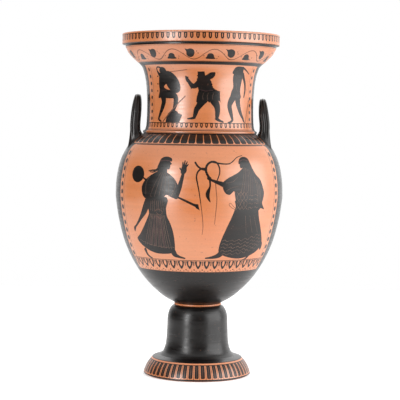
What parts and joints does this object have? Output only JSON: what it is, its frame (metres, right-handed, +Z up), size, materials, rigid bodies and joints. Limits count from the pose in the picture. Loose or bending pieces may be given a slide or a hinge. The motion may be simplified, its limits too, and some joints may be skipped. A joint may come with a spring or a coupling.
{
  "type": "black-figure pedestal krater",
  "caption": "Tall fired-clay vessel with flaring mouth, ovoid body, upright shoulder handles and bell foot, painted in black-figure style.",
  "frame": {"origin": "centre of the ring that the foot rests on", "axes": "+Z up the pot's axis; the painted front faces -Y; the handles stand at +X and -X"},
  "size_m": [0.2964, 0.2964, 0.604],
  "materials": {
    "glazed_clay": "satin"
  },
  "bodies": {
    "root": {"krater": "glazed_clay"}
  },
  "joints": []
}
